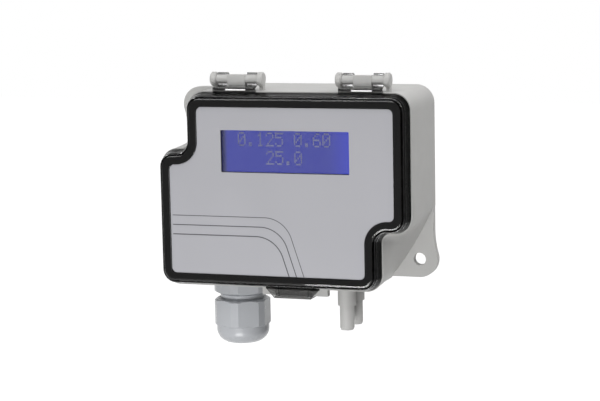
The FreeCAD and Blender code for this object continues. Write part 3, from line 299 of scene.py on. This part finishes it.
def solder_mask(name, colour):
    """Circuit board: green lacquer over raised copper tracks."""
    material, tree, shader = new_material(name)
    turn = tree.nodes.new("ShaderNodeMapping")
    turn.inputs["Rotation"].default_value = (math.radians(90), 0, 0)
    link(tree, position(tree), turn.inputs["Vector"])
    tracks = tree.nodes.new("ShaderNodeTexBrick")
    tracks.offset = 0.37
    for setting, value in (("Scale", 260.0), ("Mortar Size", 0.05), ("Mortar Smooth", 0.2)):
        tracks.inputs[setting].default_value = value
    for field, share in (("Color1", 1.0), ("Color2", 1.12), ("Mortar", 1.7)):
        tracks.inputs[field].default_value = (*tinted(colour, share), 1)
    link(tree, turn.outputs["Vector"], tracks.inputs["Vector"])
    link(tree, tracks.outputs["Color"], shader.inputs["Base Color"])
    link(tree, bump(tree, tracks.outputs["Fac"], 0.02 * MM), shader.inputs["Normal"])
    vary_gloss(tree, shader, size=3 * MM, low=0.25, high=0.4)
    return material


MATERIALS = {
    "case_plastic": moulded("case_plastic", (0.55, 0.547, 0.535), 0.5),
    # the lid's skirt and hook-and-tongue tints are painted shade
    "clear_plastic": lid_plastic("clear_plastic", clear=0.88, skirt=0.10, hook_and_tongue_shade=0.33),
    "label_film": label_film("label_film", (0.443, 0.443, 0.472)),
    "gasket_rubber": moulded("gasket_rubber", (0.09, 0.09, 0.095), 0.7, 0.3 * MM, 0.01 * MM),
    "gland_plastic": moulded("gland_plastic", (0.495, 0.51, 0.535), 0.24, 0.5 * MM, 0.004 * MM),
    "seal_rubber": moulded("seal_rubber", (0.03, 0.03, 0.03), 0.6),
    "circuit_board": solder_mask("circuit_board", (0.012, 0.11, 0.045)),
    "screw_steel": metal("screw_steel", (0.58, 0.58, 0.57), 0.38),
    "bezel_metal": moulded("bezel_metal", (0.012, 0.012, 0.014), 0.45),
    "display_blue": lit_display("display_blue", (0.003, 0.014, 0.31), (0.0, 0.02, 0.56)),
    "light_guide": moulded("light_guide", (0.8, 0.82, 0.85), 0.4),
    "spacer_nylon": moulded("spacer_nylon", (0.78, 0.77, 0.72), 0.45),
    "header_black": moulded("header_black", (0.02, 0.02, 0.02), 0.42),
    "pin_brass": metal("pin_brass", (0.83, 0.62, 0.26), 0.25),
    "sensor_plastic": moulded("sensor_plastic", (0.06, 0.06, 0.065), 0.45),
    "tube_silicone": moulded("tube_silicone", (0.6, 0.6, 0.56), 0.35),
    "terminal_plastic": moulded("terminal_plastic", (0.04, 0.24, 0.09), 0.4),
    "button_plastic": moulded("button_plastic", (0.025, 0.025, 0.025), 0.4),
    "can_aluminium": metal("can_aluminium", (0.5, 0.5, 0.51), 0.5),
}
INK = printed_ink("label_ink", (0.10, 0.10, 0.11))
DOT_GREY = printed_ink("dot_grey", (0.25, 0.27, 0.33))


def dress_nodes():
    """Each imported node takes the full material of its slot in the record."""
    for part in frame["record"]["subparts"]:
        mesh = NODES[part["node"]].data
        mesh.materials.clear()
        mesh.materials.append(MATERIALS[part["material_slot"]])


# ---- object and mesh helpers --------------------------------------------------------------------
def add_object(name, data):
    item = bpy.data.objects.new(name, data)
    bpy.context.scene.collection.objects.link(item)
    return item


def finished_mesh(name, builder, material):
    mesh = bpy.data.meshes.new(name)
    builder.to_mesh(mesh)
    builder.free()
    mesh.materials.append(material)
    return mesh


def add_piece(name, builder, material, body):
    piece = add_object(name, finished_mesh(name, builder, material))
    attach(piece, body)


def add_block(builder, low, high):
    """Closed box between two corners."""
    corners = [builder.verts.new((x, y, z))
               for x in (low[0], high[0]) for y in (low[1], high[1]) for z in (low[2], high[2])]
    for loop in ((0, 1, 3, 2), (4, 6, 7, 5), (0, 4, 5, 1), (2, 3, 7, 6), (0, 2, 6, 4), (1, 5, 7, 3)):
        builder.faces.new([corners[i] for i in loop])


def add_ribbon(builder, path, width, front_y, thickness):
    """Closed flat ribbon along a path of (x, z) points that faces the viewer."""
    rings = []
    for i, (x, z) in enumerate(path):
        before = Vector(path[max(i - 1, 0)])
        after = Vector(path[min(i + 1, len(path) - 1)])
        along = (after - before).normalized()
        side = Vector((-along.y, along.x)) * width / 2
        rings.append([builder.verts.new((x + side.x, front_y, z + side.y)),
                      builder.verts.new((x - side.x, front_y, z - side.y)),
                      builder.verts.new((x - side.x, front_y + thickness, z - side.y)),
                      builder.verts.new((x + side.x, front_y + thickness, z + side.y))])
    for a, b in zip(rings, rings[1:]):
        for i in range(4):
            builder.faces.new((a[i], a[(i + 1) % 4], b[(i + 1) % 4], b[i]))
    builder.faces.new(rings[0][::-1])
    builder.faces.new(rings[-1])
    bmesh.ops.recalc_face_normals(builder, faces=builder.faces)


# ---- label print --------------------------------------------------------------------------------
def stripe_path(index):
    """A level run from the left, a round bend, and a slanted run down to the label's edge."""
    corner = Vector((STRIPE_CORNER[0] + index * STRIPE_STEP[0],
                     STRIPE_CORNER[1] + index * STRIPE_STEP[1]))
    turn = math.pi / 2 - STRIPE_LEAN
    reach = STRIPE_R * math.tan(turn / 2)
    start = corner - Vector((reach, 0))
    centre = start - Vector((0, STRIPE_R))
    angles = [turn * i / BEND_STEPS for i in range(BEND_STEPS + 1)]
    bend = [centre + STRIPE_R * Vector((math.sin(angle), math.cos(angle))) for angle in angles]
    low = LABEL_LOW.z + PRINT_T
    foot = Vector((corner.x + (corner.y - low) * math.tan(STRIPE_LEAN), low))
    return [Vector((LABEL_LOW.x + STRIPE_END_IN, corner.y))] + bend + [foot]


def make_stripes():
    builder = bmesh.new()
    for i, width in enumerate(STRIPE_W):
        add_ribbon(builder, stripe_path(i), width, LABEL_LOW.y - PRINT_T, PRINT_T)
    add_piece("label_stripes", builder, INK, "lid")


# ---- display readout ----------------------------------------------------------------------------
# five by seven dots for each sign, one string for each row of dots from the top
SIGNS = {
    "0": (" ### ", "#   #", "#  ##", "# # #", "##  #", "#   #", " ### "),
    "1": ("  #  ", " ##  ", "  #  ", "  #  ", "  #  ", "  #  ", " ### "),
    "2": (" ### ", "#   #", "    #", "   # ", "  #  ", " #   ", "#####"),
    "5": ("#####", "#    ", "#### ", "    #", "    #", "#   #", " ### "),
    "6": ("  ## ", " #   ", "#    ", "#### ", "#   #", "#   #", " ### "),
    ".": ("     ", "     ", "     ", "     ", "     ", " ##  ", " ##  "),
}
READOUT = ("0.125 0.60", "25.0")
READOUT_CELLS = (0, 3)           # cell where each row starts


def make_readout():
    """Plain figures on the display, a small block for each lit dot."""
    builder = bmesh.new()
    front = GLASS_LOW.y - PRINT_T
    for text, first, top in zip(READOUT, READOUT_CELLS, ROW_TOPS):
        for cell, sign in enumerate(text):
            left = ROW_LEFT + (first + cell) * CELL_PITCH
            for row, dots in enumerate(SIGNS.get(sign, ())):
                for column, dot in enumerate(dots):
                    if dot == "#":
                        x = left + column * DOT_PITCH_X
                        z = top - row * DOT_PITCH_Z
                        add_block(builder, (x, front, z - DOT_PITCH_Z + DOT_GAP),
                                  (x + DOT_PITCH_X - DOT_GAP, GLASS_LOW.y, z))
    add_piece("display_figures", builder, DOT_GREY, "case")


# ---- studio -------------------------------------------------------------------------------------
FLOOR_DROP = 0.5                 # below the lowest point of the part
FLOOR_FRONT = -1.5               # the table ends here towards the viewer
FLOOR_REACH = 6.0                # and here to the left and behind
FLOOR_RIGHT = 0.8                # and here on the right
FLOOR_COLOUR = (0.35, 0.35, 0.35, 1)
FLOOR_GLOW = (0.6, 1.0)          # near the point under the origin, and further out
GLOW_SPAN = (0.15, 0.5)          # distances from that point between which the glow grows
SKY_ON_PART = (0.18, 0.45)       # light that the surroundings give to matt surfaces: front, behind
BEHIND_SPAN = (0.0, 0.7)         # how far a direction points behind the part, for these two
SKY_MIRRORED = (0.32, 1.0)       # what gloss mirrors: the room, and the white backdrop
BACKDROP = (-0.317, 0.938, -0.143)       # direction of the middle of the backdrop, fixed in the world
BACKDROP_SPAN = (0.62, 0.9)      # cosine of the angle from there, at the backdrop's soft edge
LAMPS = (                        # name, direction from the part, distance, side, level
    ("top", (0, -0.05, 1), 0.9, 0.7, 0.27),
    ("key", (-0.3, -0.72, 0.62), 0.9, 0.6, 0.40),
    ("front", (-0.05, -0.84, -0.54), 0.5, 0.24, 0.56),
    ("side", (0.76, 0, 0.65), 0.9, 0.6, 0.44),
)


def make_world():
    """White studio. Rays from the camera or through glass see it as white. Matt surfaces get its
    plain light, and gloss mirrors the white backdrop and a darker room round it."""
    world = bpy.data.worlds.new("studio")
    world.use_nodes = True
    bpy.context.scene.world = world
    tree = world.node_tree
    background = tree.nodes["Background"]
    background.inputs["Color"].default_value = (1, 1, 1, 1)
    rays = tree.nodes.new("ShaderNodeLightPath").outputs
    direction = position(tree, "Generated")
    towards = tree.nodes.new("ShaderNodeVectorMath")
    towards.operation = "DOT_PRODUCT"
    link(tree, direction, towards.inputs[0])
    towards.inputs[1].default_value = BACKDROP
    mirrored = spread(tree, towards.outputs["Value"], BACKDROP_SPAN, *SKY_MIRRORED)
    matt = spread(tree, axes(tree, direction)["Y"], BEHIND_SPAN, *SKY_ON_PART)
    on_part = blended(tree, rays["Is Glossy Ray"], matt, mirrored)
    seen = either(tree, rays["Is Camera Ray"], rays["Is Transmission Ray"])
    link(tree, blended(tree, seen, on_part, 1.0), background.inputs["Strength"])


def make_floor():
    """White table top. Its own glow is only for rays that look at it, so the shadow stays."""
    material, tree, shader = new_material("floor_white")
    shader.inputs["Base Color"].default_value = FLOOR_COLOUR
    shader.inputs["Roughness"].default_value = 0.9
    shader.inputs["Specular IOR Level"].default_value = 0.0
    shader.inputs["Emission Color"].default_value = (1, 1, 1, 1)
    reach = tree.nodes.new("ShaderNodeVectorMath")
    reach.operation = "LENGTH"
    link(tree, position(tree), reach.inputs[0])
    outwards = spread(tree, reach.outputs["Value"], GLOW_SPAN, *FLOOR_GLOW)
    rays = tree.nodes.new("ShaderNodeLightPath").outputs
    seen = either(tree, rays["Is Camera Ray"], rays["Is Transmission Ray"], rays["Is Glossy Ray"])
    link(tree, blended(tree, seen, 0.0, outwards), shader.inputs["Emission Strength"])

    builder = bmesh.new()
    level = CAD_LOW.z - FLOOR_DROP
    corners = [builder.verts.new((x, y, level))
               for x, y in ((-FLOOR_REACH, FLOOR_FRONT), (FLOOR_RIGHT, FLOOR_FRONT),
                            (FLOOR_RIGHT, FLOOR_REACH), (-FLOOR_REACH, FLOOR_REACH))]
    builder.faces.new(corners)
    add_object("floor", finished_mesh("floor", builder, material))


def add_lamp(name, direction, distance, side, level):
    """Square soft box. level is what it adds to a white matt surface that faces it."""
    data = bpy.data.lights.new(name, "AREA")
    data.shape = "SQUARE"
    data.size = side
    data.energy = level * math.pi ** 2 * distance ** 2
    lamp = add_object(name, data)
    away = Vector(direction).normalized()
    centre = (CAD_LOW + CAD_HIGH) / 2
    lamp.location = centre + away * distance
    lamp.rotation_mode = "QUATERNION"
    lamp.rotation_quaternion = away.to_track_quat("Z", "Y")


def make_camera():
    forward = Vector((-math.sin(CAMERA_AZIMUTH) * math.cos(CAMERA_ELEVATION),
                      math.cos(CAMERA_AZIMUTH) * math.cos(CAMERA_ELEVATION),
                      -math.sin(CAMERA_ELEVATION)))
    level_right = Vector((math.cos(CAMERA_AZIMUTH), math.sin(CAMERA_AZIMUTH), 0))
    level_up = level_right.cross(forward)
    right = level_right * math.cos(CAMERA_ROLL) + level_up * math.sin(CAMERA_ROLL)
    up = level_up * math.cos(CAMERA_ROLL) - level_right * math.sin(CAMERA_ROLL)
    place = CAMERA_TARGET - forward * CAMERA_DISTANCE
    data = bpy.data.cameras.new("camera")
    data.lens = CAMERA_LENS
    data.sensor_width = SENSOR_WIDTH
    data.clip_start = CLIP_START
    data.clip_end = CLIP_END
    camera = add_object("camera", data)
    turn = Matrix((right, up, -forward)).transposed()
    camera.matrix_world = Matrix.Translation(place) @ turn.to_4x4()
    bpy.context.scene.camera = camera


dress_nodes()
make_stripes()
make_readout()
make_world()
make_floor()
for lamp_values in LAMPS:
    add_lamp(*lamp_values)
make_camera()
bpy.context.scene.view_settings.view_transform = "Standard"
